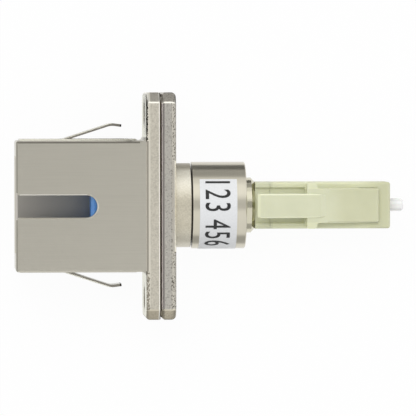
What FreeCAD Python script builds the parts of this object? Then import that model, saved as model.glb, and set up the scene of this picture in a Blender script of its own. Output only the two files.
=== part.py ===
import FreeCAD
import Part
import math
import os

Vector = FreeCAD.Vector

# Hybrid fibre adapter, in millimetres. +X runs along the optical axis from the square
# port to the small plug, +Z points to the keyway and latch side. The origin is on the
# optical axis, in the flange face that seats on the panel.

# Square port
port_length = 12.56
body_width = 12.66
body_depth = 9.20
body_edge = 0.13
mouth_chamfer = 0.14
cavity_width = 9.05
cavity_depth = 7.45
cavity_lead_in = 0.30
keyway_width = 2.16
keyway_length = 7.86
keyway_mouth_round = 0.35
keyway_rim = 0.12
root_round = 0.40

# Panel flange: one plate on each half of the shell
flange_length = 22.0
flange_depth = 9.50
front_plate = 1.38
rear_plate = 1.53
flange_corner = 0.95
flange_corner_round = 0.35
front_face_round = 0.36
rear_face_round = 0.50
front_joint_bevel = (0.13, 0.06)
rear_joint_bevel = (0.25, 0.20)
joint_gap = 0.14
joint_land_ends = 0.45
joint_land_sides = 0.75
panel_hole_margin = 2.0
panel_hole = 2.20
rivet_wall = 0.40

# Retaining clip and its lanced wings
clip_sheet = 0.25
clip_seat = 0.12
clip_bend = 0.30
clip_front_margin = 0.40
clip_rear_margin = 0.82
clip_arm_height = 6.20
wing_root_setback = 7.99
wing_width = 3.00
wing_angle = 18.0
wing_reach = 4.64
wing_bend = 25.5
wing_bend_radius = 1.50
wing_tip = 0.70
lance_cut = 0.12

# Sleeve holder, hook arms and alignment sleeve
mating_depth = 13.89
sleeve_length = 11.4
sleeve_bore = 2.506
sleeve_wall = 0.345
sleeve_slit = 0.45
holder_wall = 0.60
holder_lip = 0.77
holder_lip_bore = 2.90
holder_tip_chamfer = 0.30
holder_base_width = 10.40
holder_base_depth = 7.90
holder_base_seat = 0.30
hook_length = 8.40
hook_width = 2.30
hook_thickness = 0.80
hook_offset = 3.50
hook_catch = 0.65
hook_catch_length = 1.20
hook_catch_slope = 0.22

# Rear flange boss, clamp nut, label and plug stem
boss_diameter = 8.20
boss_length = 1.51
spigot_wall = 1.75
nut_diameter = 8.44
nut_length = 5.20
nut_gap = 0.15
nut_wall = 0.40
nut_edge = 0.08
label_length = 3.62
label_setback = 0.64
label_film = 0.03
label_start = 37.5
label_wrap = 205.0
stem_flange_length = 0.45
neck_diameter = 5.40
neck_length = 0.90
neck_chamfer = 0.30
stem_tail_diameter = 2.40
stem_bore = 1.00
stub_diameter = 2.50
stub_recess = 0.30

# Small plug
plug_width = 4.52
plug_edge_round = 0.22
nose_round = 0.28
rear_body_length = 1.42
rear_body_chamfer = 0.15
front_body_length = 11.71
rear_tongue_diameter = 3.00
rear_tongue_length = 2.05
nose_bore = 3.00
nose_bore_depth = 2.75
web_thickness = 0.70
deck_recess_width = 3.50
deck_recess_depth = 0.30
deck_recess_length = 3.36
latch_setback = 1.52
latch_rise = 0.30
latch_thickness = 0.76
latch_width = 3.33
latch_edge = 0.13
latch_front_slope = 13.0
latch_front_run = 2.60
latch_rear_slope = 6.0
latch_bend_radius = 4.0
latch_relief = 1.60
latch_length = 6.36
lug_width = 4.45
lug_length = 1.05
lug_round = 0.28
lug_root_round = 0.26
tab_width = 2.34
tab_length = 6.68
tab_overlap = 1.90
tab_step = 0.22
tab_step_run = 0.45
tab_top = 4.75
tab_thickness = 0.85
tab_bevel = 0.65
tab_bevel_drop = 0.22
tab_edge_round = 0.18

# Small ferrule, barrel, spring and fibre
ferrule_diameter = 1.25
ferrule_length = 6.50
ferrule_reach = 1.46
ferrule_tip_chamfer = 0.20
ferrule_tail_diameter = 0.94
barrel_flange_diameter = 2.70
barrel_flange_length = 1.20
barrel_tail_diameter = 1.70
barrel_tail_length = 2.60
spring_wire = 0.28
spring_diameter = 2.28
spring_turns = 3
spring_wire_sides = 4
spring_turn_sides = 15
fibre_diameter = 0.125

# Clearances
seat_gap = 0.03
slip_gap = 0.05
clip_gap = 0.02
hinge_gap = 0.05
bore_gap = 0.10
bond_gap = 0.004

# Stations along X, in assembly order
x_mouth = -port_length
x_panel = 0.0
x_joint = x_panel + front_plate
x_boss = x_joint + rear_plate
x_spigot = x_boss + boss_length
x_nut = x_spigot + nut_gap
x_nut_end = x_nut + nut_length
x_stem_flange_end = x_nut_end - nut_wall - seat_gap
x_stem_flange = x_stem_flange_end - stem_flange_length
x_spigot_end = x_stem_flange - seat_gap
x_neck_end = x_nut_end + neck_length
x_rear_body = x_neck_end + seat_gap
x_plug_joint = x_rear_body + rear_body_length
x_front_body = x_plug_joint + seat_gap
x_nose = x_front_body + front_body_length
x_tip = x_nose + ferrule_reach
x_mating = x_mouth + mating_depth
x_sleeve = x_mating - sleeve_length / 2
x_sleeve_end = x_sleeve + sleeve_length
x_holder_step = x_sleeve - bore_gap
x_holder_front = x_holder_step - holder_lip
x_holder_seat = x_panel - holder_base_seat
x_web = x_nose - nose_bore_depth
x_web_rear = x_web - web_thickness
x_barrel_front = x_web_rear - seat_gap
x_barrel_flange = x_barrel_front - barrel_flange_length
x_tongue_end = x_front_body + rear_tongue_length
x_ferrule_end = x_tip - ferrule_length

# Diameters and half widths that follow from the fits
half_width = body_width / 2
half_depth = body_depth / 2
half_plug = plug_width / 2
sleeve_diameter = sleeve_bore + 2 * sleeve_wall
holder_bore = sleeve_diameter + 2 * bore_gap
holder_diameter = holder_bore + 2 * holder_wall
spigot_diameter = holder_bore + 2 * spigot_wall
nut_bore = spigot_diameter + 2 * slip_gap
stem_flange_diameter = nut_bore - 2 * slip_gap
chamber_bore = rear_tongue_diameter + 2 * slip_gap
rivet_diameter = panel_hole + 2 * rivet_wall
panel_hole_spacing = flange_length - 2 * panel_hole_margin
fibre_bore = fibre_diameter + 2 * bond_gap


def block(x, y, z):
    """Solid block between pairs of limits."""
    return Part.makeBox(x[1] - x[0], y[1] - y[0], z[1] - z[0], Vector(x[0], y[0], z[0]))


def rod(diameter, x, y=0.0):
    """Round bar along X between a pair of limits."""
    return Part.makeCylinder(diameter / 2, x[1] - x[0], Vector(x[0], y, 0), Vector(1, 0, 0))


def turned(outline):
    """Solid turned about the optical axis from (x, diameter) corners."""
    corners = [Vector(x, diameter / 2, 0) for x, diameter in outline]
    face = Part.Face(Part.makePolygon(corners + corners[:1]))
    return face.revolve(Vector(0, 0, 0), Vector(1, 0, 0), 360)


def picked(shape, test):
    """Edges whose midpoint passes a test on (point, direction)."""
    edges = []
    for edge in [edge for edge in shape.Edges if not edge.Degenerated]:
        middle = (edge.FirstParameter + edge.LastParameter) / 2
        if test(edge.valueAt(middle), edge.tangentAt(middle)):
            edges.append(edge)
    return edges


# Edges are picked as parallel within this angle, and as touching within this distance
parallel_angle = 25
parallel = math.cos(math.radians(parallel_angle))
same = 1e-4


def along_x(point, direction):
    return abs(direction.x) > parallel


def near(value, target):
    return abs(value - target) < same


def ribbon(start, heading, runs, thickness):
    """Side profile of a bent strip, as (left, right) edges from (length, turn, radius) runs.

    The strip starts at a point with a heading in degrees, and each run is a straight length
    followed by a bend through an angle at a radius on the strip's middle line.
    """
    at = Vector(start[0], start[1], 0)
    angle = math.radians(heading)
    left = []
    right = []

    def side(point, direction, offset):
        return point + Vector(-math.sin(direction), math.cos(direction), 0) * offset

    for length, turn, radius in runs:
        end = at + Vector(math.cos(angle), math.sin(angle), 0) * length
        for edges, offset in ((left, thickness / 2), (right, -thickness / 2)):
            edges.append(Part.LineSegment(side(at, angle, offset), side(end, angle, offset)))
        at = end
        if turn:
            sweep = math.radians(turn)
            centre = side(at, angle, math.copysign(radius, sweep))
            places = []
            for share in (0.5, 1.0):
                turned_angle = angle + sweep * share
                places.append((side(centre, turned_angle, -math.copysign(radius, sweep)), turned_angle))
            for edges, offset in ((left, thickness / 2), (right, -thickness / 2)):
                first = side(at, angle, offset)
                points = [side(point, direction, offset) for point, direction in places]
                edges.append(Part.Arc(first, points[0], points[1]))
            at, angle = places[1]
    return left, right


def strip(start, heading, runs, thickness):
    """Flat face of a bent strip in the XY plane, square at both ends."""
    left, right = ribbon(start, heading, runs, thickness)
    head = Part.LineSegment(left[0].StartPoint, right[0].StartPoint)
    tail = Part.LineSegment(left[-1].EndPoint, right[-1].EndPoint)
    edges = [piece.toShape() for piece in left + right + [head, tail]]
    return Part.Face(Part.Wire(Part.__sortEdges__(edges)))


def flange_plate(x_outer, x_inner, outer_round, joint_bevel):
    """Flange plate with cut corners: rounded edges outside, a (run, drop) bevel at the joint."""
    y = flange_length / 2
    z = flange_depth / 2
    cut = flange_corner
    quarter = [(y - cut, z), (y, z - cut)]
    corners = quarter + [(b, -c) for b, c in reversed(quarter)]
    corners += [(-b, c) for b, c in reversed(corners)]
    points = [Vector(x_outer, b, c) for b, c in corners]
    plate = Part.Face(Part.makePolygon(points + points[:1])).extrude(Vector(x_inner - x_outer, 0, 0))
    plate = plate.makeFillet(flange_corner_round, picked(plate, along_x))
    across_cut = (y + z - cut) / math.sqrt(2)
    run, drop = joint_bevel
    x_bevel = x_inner - math.copysign(run, x_inner - x_outer)
    for half, turn in ((z, 0), (y, 90), (across_cut, 45), (across_cut, -45)):
        profile = [(x_outer, half), (x_bevel, half), (x_inner, half - drop)]
        profile += [(x, -c) for x, c in reversed(profile)]
        points = [Vector(x, -flange_length, c) for x, c in profile]
        slab = Part.Face(Part.makePolygon(points + points[:1])).extrude(Vector(0, 2 * flange_length, 0))
        outer = picked(slab, lambda p, d: near(p.x, x_outer) and abs(d.y) > parallel)
        slab = slab.makeFillet(outer_round, outer)
        slab.rotate(Vector(0, 0, 0), Vector(1, 0, 0), turn)
        plate = plate.common(slab)
    return plate


def rivet_holes(x, diameter):
    """The two flange holes, or the bars that fill them."""
    return [rod(diameter, x, side * panel_hole_spacing / 2) for side in (1, -1)]


def keyway_outline(z, grow):
    """Outline of the keyway at a height: full-round end, corners rounded out to the mouth."""
    half = keyway_width / 2 + grow
    out = keyway_mouth_round
    bend = out * (1 - math.sqrt(0.5))
    centre_x = x_mouth + keyway_length - keyway_width / 2
    edges = []
    ends = {}
    for side in (1, -1):
        outer = Vector(x_mouth - out, side * (half + out), z)
        mouth = Vector(x_mouth, side * (half + out), z)
        middle = Vector(x_mouth + bend, side * (half + bend), z)
        wall = Vector(x_mouth + out, side * half, z)
        end = Vector(centre_x, side * half, z)
        edges.append(Part.makeLine(outer, mouth))
        edges.append(Part.Arc(mouth, middle, wall).toShape())
        edges.append(Part.makeLine(wall, end))
        ends[side] = (outer, end)
    edges.append(Part.Arc(ends[1][1], Vector(centre_x + half, 0, z), ends[-1][1]).toShape())
    edges.append(Part.makeLine(ends[-1][0], ends[1][0]))
    return Part.Wire(Part.__sortEdges__(edges))


def keyway():
    """Keyway through the +Z wall, with a bevelled rim on the outside."""
    slot = Part.Face(keyway_outline(0, 0)).extrude(Vector(0, 0, body_depth))
    rim = [keyway_outline(half_depth + rise, keyway_rim + rise) for rise in (-keyway_rim, keyway_rim)]
    return slot.fuse(Part.makeLoft(rim, True, True))


def root_fillet(side):
    """Cast fillet between a narrow side of the shell and the flange plate."""
    wall = Vector(x_panel, side * half_width, -half_depth)
    inner = wall - Vector(0, side * body_edge, 0)
    along = Vector(-root_round, 0, 0)
    outward = Vector(0, side * root_round, 0)
    bend = wall + (along + outward) * (1 - math.sqrt(0.5))
    arc = Part.Arc(wall + along, bend, wall + outward).toShape()
    lines = Part.makePolygon([wall + outward, inner, inner + along, wall + along])
    return Part.Face(Part.Wire(lines.Edges + [arc])).extrude(Vector(0, 0, body_depth))


def sc_housing():
    """Die-cast shell of the square port with the front flange plate."""
    shell = block((x_mouth, x_joint), (-half_width, half_width), (-half_depth, half_depth))
    bevelled = shell.makeChamfer(mouth_chamfer, picked(shell, lambda p, d: near(p.x, x_mouth)))
    shell = shell.makeChamfer(body_edge, picked(shell, along_x)).common(bevelled)
    shell = shell.fuse(flange_plate(x_panel, x_joint, front_face_round, front_joint_bevel))
    for side in (1, -1):
        shell = shell.fuse(root_fillet(side))
    cavity = block(
        (x_mouth, x_joint),
        (-cavity_width / 2, cavity_width / 2),
        (-cavity_depth / 2, cavity_depth / 2),
    )
    shell = shell.cut(cavity)
    inner = (cavity_width / 2 + same, cavity_depth / 2 + same)
    mouth_edges = picked(
        shell, lambda p, d: near(p.x, x_mouth) and abs(p.y) < inner[0] and abs(p.z) < inner[1]
    )
    shell = shell.makeChamfer(cavity_lead_in, mouth_edges)
    shell = shell.cut(holder_base((x_holder_seat, x_joint), slip_gap))
    for hole in rivet_holes((x_panel, x_joint), rivet_diameter):
        shell = shell.cut(hole)
    return shell.cut(keyway()).cut(clip_seat_groove()).removeSplitter()


def clip_blank(grow, margin):
    """Square block in the shell that bounds one side of the clip's sheet, or its seat."""
    y = half_width - clip_seat + grow
    z = half_depth - clip_seat + grow
    span = (x_mouth + clip_front_margin - margin, x_panel - clip_rear_margin + margin)
    return block(span, (-y, y), (-z, z))


clip_arm_top = -half_depth + clip_arm_height
wing_x = x_panel - wing_root_setback
wing_y = half_width - clip_seat + clip_gap + clip_sheet / 2
wing_z = (clip_arm_top - half_depth) / 2
wing_developed = wing_reach + math.radians(wing_bend) * wing_bend_radius + wing_tip


def clip_seat_groove():
    """Shallow seat for the clip, round the back and the narrow sides of the shell."""
    span = (x_mouth + clip_front_margin - clip_gap, x_panel - clip_rear_margin + clip_gap)
    around = block(span, (-body_width, body_width), (-body_depth, clip_arm_top + clip_gap))
    seat = clip_blank(0.0, clip_gap)
    return around.cut(seat.makeChamfer(clip_bend, picked(seat, along_x)))


def retaining_clip():
    """U of spring steel: base on the shell's back, arms up the narrow sides, lanced windows."""
    outer = clip_blank(clip_gap + clip_sheet, 0.0)
    inner = clip_blank(clip_gap, 0.0)
    outer = outer.makeFillet(clip_bend + clip_gap + clip_sheet, picked(outer, along_x))
    inner = inner.makeFillet(clip_bend + clip_gap, picked(inner, along_x))
    clip = outer.cut(inner).cut(
        block(
            (x_mouth, x_panel),
            (-body_width, body_width),
            (clip_arm_top, body_depth),
        )
    )
    window = block(
        (wing_x - clip_sheet / 2 - hinge_gap, wing_x + wing_developed + lance_cut),
        (-body_width, body_width),
        (wing_z - wing_width / 2 - lance_cut, wing_z + wing_width / 2 + lance_cut),
    )
    return clip.cut(window)


def clip_wing(side):
    """Lanced wing: bent out of the arm at its root, with the tip bent back in."""
    runs = [(wing_reach, -side * wing_bend, wing_bend_radius), (wing_tip, 0, 0)]
    face = strip((wing_x, side * wing_y), side * wing_angle, runs, clip_sheet)
    face.translate(Vector(0, 0, wing_z - wing_width / 2))
    wing = face.extrude(Vector(0, 0, wing_width))
    root = Vector(wing_x, side * wing_y, wing_z - wing_width / 2)
    return wing.fuse(Part.makeCylinder(clip_sheet / 2, wing_width, root)).removeSplitter()


def holder_base(x, grow):
    """Base plate of the sleeve holder, or its pocket when grown by a clearance."""
    y = holder_base_width / 2 + grow
    z = holder_base_depth / 2 + grow
    return block(x, (-y, y), (-z, z))


x_hook_root = x_holder_seat + (x_joint - x_holder_seat) / 2


def sleeve_holder():
    """Blue moulding: base plate trapped in the flange, tube round the alignment sleeve."""
    x_holder_end = x_joint - seat_gap
    holder = holder_base((x_holder_seat, x_holder_end), 0.0)
    chamfer = holder_tip_chamfer
    tube = turned(
        [
            (x_holder_front, holder_diameter - 2 * chamfer),
            (x_holder_front + chamfer, holder_diameter),
            (x_holder_end, holder_diameter),
            (x_holder_end, 0),
            (x_holder_front, 0),
        ]
    )
    holder = holder.fuse(tube)
    bore = turned(
        [
            (x_holder_front, 0),
            (x_holder_front, holder_lip_bore),
            (x_holder_step, holder_lip_bore),
            (x_holder_step, holder_bore),
            (x_holder_end, holder_bore),
            (x_holder_end, 0),
        ]
    )
    holder = holder.cut(bore)
    half = hook_width / 2 + hinge_gap
    reach = hook_thickness / 2 + 2 * hinge_gap
    depth = (x_holder_seat, x_hook_root + hook_thickness / 2 + hinge_gap)
    for side in (1, -1):
        y = side * hook_offset
        holder = holder.cut(block(depth, (y - reach, y + reach), (-half, half)))
    return holder


def plug_hook(side):
    """Hook arm: round root in the base plate, arm along the port, catch facing the axis."""
    inner = hook_offset - hook_thickness / 2
    outer = hook_offset + hook_thickness / 2
    x_hook_tip = x_hook_root - hook_length
    outline = [
        (x_hook_root, inner),
        (x_hook_tip + hook_catch_length, inner),
        (x_hook_tip + hook_catch_length - hook_catch_slope, inner - hook_catch),
        (x_hook_tip + hook_catch, inner - hook_catch),
        (x_hook_tip, inner),
        (x_hook_tip, outer),
        (x_hook_root, outer),
    ]
    points = [Vector(x, side * y, -hook_width / 2) for x, y in outline]
    arm = Part.Face(Part.makePolygon(points + points[:1])).extrude(Vector(0, 0, hook_width))
    centre = Vector(x_hook_root, side * hook_offset, -hook_width / 2)
    return arm.fuse(Part.makeCylinder(hook_thickness / 2, hook_width, centre)).removeSplitter()


def split_sleeve():
    """Slotted zirconia sleeve that lines up the two 2.5 mm ferrules."""
    span = (x_sleeve, x_sleeve_end)
    sleeve = rod(sleeve_diameter, span).cut(rod(sleeve_bore, span))
    return sleeve.cut(block(span, (-sleeve_slit / 2, sleeve_slit / 2), (-sleeve_diameter, 0)))


def rear_flange():
    """Die-cast rear plate with the round boss and the spigot under the clamp nut."""
    flange = flange_plate(x_boss, x_joint + joint_gap, rear_face_round, rear_joint_bevel)
    y = flange_length / 2 - joint_land_ends
    z = flange_depth / 2 - joint_land_sides
    flange = flange.fuse(block((x_joint, x_joint + rear_plate / 2), (-y, y), (-z, z)))
    flange = flange.fuse(rod(boss_diameter, (x_joint, x_spigot)))
    flange = flange.fuse(rod(spigot_diameter, (x_joint, x_spigot_end)))
    flange = flange.cut(rod(holder_bore, (x_joint, x_spigot_end)))
    for hole in rivet_holes((x_joint, x_boss), rivet_diameter):
        flange = flange.cut(hole)
    return flange.removeSplitter()


def flange_rivets():
    """Two tubular rivets, flush with both flange faces; their bores are the panel holes."""
    span = (x_panel, x_boss)
    sleeves = rivet_holes(span, rivet_diameter - 2 * clip_gap)
    bores = rivet_holes(span, panel_hole)
    return Part.makeCompound([sleeve.cut(bore) for sleeve, bore in zip(sleeves, bores)])


def clamp_nut():
    """Turned ring nut: threaded skirt over the spigot, inward wall that traps the stem."""
    bore = neck_diameter + 2 * slip_gap
    edge = nut_edge
    return turned(
        [
            (x_nut, nut_bore),
            (x_nut, nut_diameter),
            (x_nut_end - edge, nut_diameter),
            (x_nut_end, nut_diameter - 2 * edge),
            (x_nut_end, bore),
            (x_nut_end - nut_wall, bore),
            (x_nut_end - nut_wall, nut_bore),
        ]
    )


def fibre_label():
    """Paper label wrapped part way round the nut."""
    x = x_nut + label_setback
    inner = nut_diameter / 2 + bond_gap
    outer = inner + label_film
    corners = [(x, inner), (x + label_length, inner), (x + label_length, outer), (x, outer)]
    points = [Vector(a, 0, r) for a, r in corners]
    film = Part.Face(Part.makePolygon(points + points[:1]))
    film.rotate(Vector(0, 0, 0), Vector(1, 0, 0), -label_start)
    return film.revolve(Vector(0, 0, 0), Vector(1, 0, 0), label_wrap)


def plug_stem():
    """Turned collar: flange trapped by the nut, bare neck, tail through the plug's rear body."""
    return turned(
        [
            (x_stem_flange, stem_bore),
            (x_stem_flange, stem_flange_diameter),
            (x_stem_flange_end, stem_flange_diameter),
            (x_stem_flange_end, neck_diameter),
            (x_neck_end - neck_chamfer, neck_diameter),
            (x_neck_end, neck_diameter - 2 * neck_chamfer),
            (x_neck_end, stem_tail_diameter),
            (x_tongue_end, stem_tail_diameter),
            (x_tongue_end, stem_bore),
        ]
    )


def stub_holder():
    """Metal ring in the spigot's bore that grips the stub ferrule."""
    span = (x_sleeve_end + bore_gap, x_spigot_end)
    return rod(holder_bore - 2 * bond_gap, span).cut(rod(stub_diameter + 2 * bond_gap, span))


def stub_ferrule():
    """2.5 mm zirconia stub, polished face at the mating plane."""
    span = (x_mating, x_spigot_end - stub_recess)
    return rod(stub_diameter, span).cut(rod(fibre_bore, span))


def deck_recess(x):
    """Shallow channel under the thumb tab, along both pieces of the plug body."""
    half = deck_recess_width / 2
    return block(x, (-half, half), (half_plug - deck_recess_depth, plug_width))


def lc_rear_body():
    """Rear piece of the small plug: square block with a tongue into the front housing."""
    body = block((x_rear_body, x_plug_joint), (-half_plug, half_plug), (-half_plug, half_plug))
    body = body.makeChamfer(rear_body_chamfer, picked(body, along_x))
    body = body.cut(deck_recess((x_rear_body, x_plug_joint)))
    body = body.fuse(rod(rear_tongue_diameter, (x_plug_joint, x_tongue_end)))
    return body.cut(rod(stem_tail_diameter + 2 * bond_gap, (x_rear_body, x_tongue_end)))


latch_x = x_nose - latch_setback
latch_z = half_plug + latch_rise


def lc_front_housing():
    """Front piece of the small plug: nose bore, web, spring chamber and recessed deck."""
    plain = block((x_front_body, x_nose), (-half_plug, half_plug), (-half_plug, half_plug))
    body = plain.makeFillet(plug_edge_round, picked(plain, along_x))
    for across_nose in (Vector(0, 1, 0), Vector(0, 0, 1)):
        nose = picked(plain, lambda p, d: near(p.x, x_nose) and abs(d.dot(across_nose)) > parallel)
        body = body.common(plain.makeFillet(nose_round, nose))
    body = body.cut(deck_recess((x_front_body, x_front_body + deck_recess_length)))
    body = body.cut(rod(nose_bore, (x_web, x_nose)))
    body = body.cut(rod(ferrule_diameter + 2 * bore_gap, (x_web_rear, x_web)))
    body = body.cut(rod(chamber_bore, (x_front_body, x_web_rear)))
    half = latch_width / 2 + hinge_gap
    seat_radius = latch_thickness / 2 + hinge_gap
    seat = Part.makeCylinder(seat_radius, 2 * half, Vector(latch_x, -half, latch_z), Vector(0, 1, 0))
    relief = block((latch_x - latch_relief, latch_x), (-half, half), (latch_z - seat_radius, plug_width))
    return body.cut(seat).cut(relief)


def latch_profile():
    """Side profile of the latch arm in the XZ plane, from its knuckle back past the lugs."""
    bend = latch_front_slope - latch_rear_slope
    flat = latch_length - latch_front_run
    runs = [(latch_front_run, bend, latch_bend_radius), (flat, 0, 0)]
    face = strip((latch_x, latch_z), 180 - latch_front_slope, runs, latch_thickness)
    face.rotate(Vector(0, 0, 0), Vector(1, 0, 0), 90)
    return face


def across(face, width):
    """Face in the XZ plane made solid over a width about the middle plane."""
    solid = face.extrude(Vector(0, width, 0))
    solid.translate(Vector(0, -width / 2 - face.BoundBox.YMin, 0))
    return solid


def lc_latch():
    """Press-down latch: knuckle at the nose, sloping arm, two side lugs, raised thumb tab."""
    profile = latch_profile()
    x_arm_end = profile.BoundBox.XMin
    arm = across(profile, latch_width)
    knuckle = Part.makeCylinder(
        latch_thickness / 2, latch_width, Vector(latch_x, -latch_width / 2, latch_z), Vector(0, 1, 0)
    )
    arm = arm.fuse(knuckle).removeSplitter()
    long_edges = picked(arm, lambda p, d: abs(d.y) < same and p.x < latch_x and p.z > latch_middle(p.x))
    arm = arm.makeChamfer(latch_edge, long_edges)
    lugs = across(profile, lug_width).common(lug_outline(x_arm_end))
    return arm.fuse(lugs).fuse(thumb_tab(profile)).removeSplitter()


def latch_middle(x):
    """Height of the arm's middle line, taken straight between its slopes."""
    mean_slope = (latch_front_slope + latch_rear_slope) / 2
    return latch_z + (latch_x - x) * math.tan(math.radians(mean_slope))


def lug_outline(x_arm_end):
    """Plan outline of the two lugs, rounded outside and blended into the arm."""
    height = (-plug_width, 2 * plug_width)
    x_lug = x_arm_end + lug_length
    bar = block((x_arm_end, x_lug), (-lug_width / 2, lug_width / 2), height)
    bar = bar.fuse(block((x_arm_end, x_lug + lug_length), (-latch_width / 2, latch_width / 2), height))
    bar = bar.removeSplitter()
    corners = picked(bar, lambda p, d: abs(d.z) > parallel and near(abs(p.y), lug_width / 2))
    bar = bar.makeFillet(lug_round, corners)
    roots = picked(
        bar,
        lambda p, d: abs(d.z) > parallel and near(p.x, x_lug) and near(abs(p.y), latch_width / 2),
    )
    return bar.makeFillet(lug_root_round, roots)


def thumb_tab(profile):
    """Raised bar over the arm's rear end, bevelled at its free end."""
    x_arm_end = profile.BoundBox.XMin
    x_front = x_arm_end + tab_overlap
    x_back = x_front - tab_length
    z_arm_top = profile.BoundBox.ZMax
    slope = math.tan(math.radians(latch_rear_slope))
    z_front = z_arm_top - tab_overlap * slope
    outline = [
        (x_front, z_front - latch_thickness / 2),
        (x_front, z_front),
        (x_front - tab_step_run, z_front + tab_step),
        (x_back + tab_bevel, tab_top),
        (x_back, tab_top - tab_bevel_drop),
        (x_back, tab_top - tab_thickness),
        (x_arm_end, z_arm_top - latch_thickness / 2),
    ]
    points = [Vector(x, 0, z) for x, z in outline]
    tab = across(Part.Face(Part.makePolygon(points + points[:1])), tab_width)
    under = tab.BoundBox.ZMax - tab_thickness

    def on_top(point, direction):
        between_ends = x_back + same < point.x < x_front - same
        middle = z_front + (x_front - point.x) * (under - z_front) / tab_length
        return between_ends and abs(direction.y) < same and point.z > middle

    top = picked(tab, on_top)
    return tab.makeFillet(tab_edge_round, top)


def ferrule_barrel():
    """Metal barrel bonded to the ferrule: flange against the web, tail inside the spring."""
    x_tail = x_barrel_flange - barrel_tail_length
    seat = ferrule_tail_diameter + 2 * bond_gap
    return turned(
        [
            (x_tail, seat),
            (x_tail, barrel_tail_diameter),
            (x_barrel_flange, barrel_tail_diameter),
            (x_barrel_flange, barrel_flange_diameter),
            (x_barrel_front, barrel_flange_diameter),
            (x_barrel_front, seat),
        ]
    )


def lc_ferrule():
    """1.25 mm zirconia ferrule: chamfered polished tip, stepped tail bonded in the barrel."""
    chamfer = ferrule_tip_chamfer
    return turned(
        [
            (x_ferrule_end, fibre_bore),
            (x_ferrule_end, ferrule_tail_diameter),
            (x_web, ferrule_tail_diameter),
            (x_web, ferrule_diameter),
            (x_tip - chamfer, ferrule_diameter),
            (x_tip, ferrule_diameter - 2 * chamfer),
            (x_tip, fibre_bore),
        ]
    )


def ferrule_spring():
    """Coil spring between the tail of the stem and the barrel flange."""
    first = x_tongue_end + seat_gap + spring_wire / 2
    last = x_barrel_flange - seat_gap - spring_wire / 2
    coils = spring_turns * spring_turn_sides
    points = []
    for step in range(coils + 1):
        turn = 2 * math.pi * step / spring_turn_sides
        reach = Vector(0, math.cos(turn), math.sin(turn)) * (spring_diameter / 2)
        points.append(reach + Vector(first + (last - first) * step / coils, 0, 0))
    heading = points[1] - points[0]
    across_wire = points[0].cross(heading).normalize() * (spring_wire / 2)
    corners = []
    for step in range(spring_wire_sides):
        turn = FreeCAD.Rotation(heading, 360 * step / spring_wire_sides)
        corners.append(points[0] + turn.multVec(across_wire))
    section = Part.makePolygon(corners + corners[:1])
    mitred = 1
    return Part.makePolygon(points).makePipeShell([section], True, False, mitred)


def fibre():
    """Glass fibre from the polished face of the stub to the tip of the small ferrule."""
    return rod(fibre_diameter, (x_mating, x_tip))


parts = {
    "sc_housing": sc_housing(),
    "retaining_clip": retaining_clip(),
    "clip_wing_upper": clip_wing(1),
    "clip_wing_lower": clip_wing(-1),
    "sleeve_holder": sleeve_holder(),
    "plug_hook_upper": plug_hook(1),
    "plug_hook_lower": plug_hook(-1),
    "split_sleeve": split_sleeve(),
    "rear_flange": rear_flange(),
    "flange_rivets": flange_rivets(),
    "clamp_nut": clamp_nut(),
    "fibre_label": fibre_label(),
    "plug_stem": plug_stem(),
    "stub_holder": stub_holder(),
    "stub_ferrule": stub_ferrule(),
    "lc_rear_body": lc_rear_body(),
    "lc_front_housing": lc_front_housing(),
    "lc_latch": lc_latch(),
    "ferrule_barrel": ferrule_barrel(),
    "lc_ferrule": lc_ferrule(),
    "ferrule_spring": ferrule_spring(),
    "fibre": fibre(),
}

os.makedirs("parts", exist_ok=True)
for name, shape in parts.items():
    shape.exportStep(os.path.join("parts", name + ".step"))
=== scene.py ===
import bpy
import math
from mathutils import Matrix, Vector


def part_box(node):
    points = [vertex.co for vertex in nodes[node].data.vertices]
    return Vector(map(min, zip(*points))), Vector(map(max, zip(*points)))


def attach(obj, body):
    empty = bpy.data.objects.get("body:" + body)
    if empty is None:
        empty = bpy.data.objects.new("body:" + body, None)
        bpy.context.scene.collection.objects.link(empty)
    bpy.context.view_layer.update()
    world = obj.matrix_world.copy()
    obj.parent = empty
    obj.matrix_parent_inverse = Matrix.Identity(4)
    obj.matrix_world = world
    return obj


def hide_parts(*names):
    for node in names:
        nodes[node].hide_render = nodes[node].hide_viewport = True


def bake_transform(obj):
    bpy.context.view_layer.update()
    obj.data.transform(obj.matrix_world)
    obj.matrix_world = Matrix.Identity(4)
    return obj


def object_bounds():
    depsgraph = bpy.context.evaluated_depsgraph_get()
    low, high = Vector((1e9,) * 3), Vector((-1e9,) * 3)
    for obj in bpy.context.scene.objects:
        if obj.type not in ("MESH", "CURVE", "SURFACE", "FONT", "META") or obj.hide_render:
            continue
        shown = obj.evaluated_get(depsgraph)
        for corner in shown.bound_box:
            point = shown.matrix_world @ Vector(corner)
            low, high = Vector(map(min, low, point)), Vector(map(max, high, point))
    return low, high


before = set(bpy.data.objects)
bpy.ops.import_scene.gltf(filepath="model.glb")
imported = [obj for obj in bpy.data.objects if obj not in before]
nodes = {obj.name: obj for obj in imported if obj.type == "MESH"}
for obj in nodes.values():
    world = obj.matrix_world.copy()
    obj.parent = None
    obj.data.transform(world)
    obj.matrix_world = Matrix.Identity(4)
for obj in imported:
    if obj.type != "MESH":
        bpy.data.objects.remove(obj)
cad_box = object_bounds()

# Square port shell with the front flange plate: a zinc die casting under satin nickel plate.
# The port's faces are ground along their length, the flange keeps the grain of the casting,
# and the shell is the piece that all the others are fixed in.
MM = 0.001
ground_line = 0.14
ground_length = 6.0
cast_grain = 0.16
cast_wave = 2.5
mouth_x = -12.56
cavity_back_x = -5.0
line_wander = 0.40
wave_share = 3.0
ground_relief = 0.002
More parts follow.
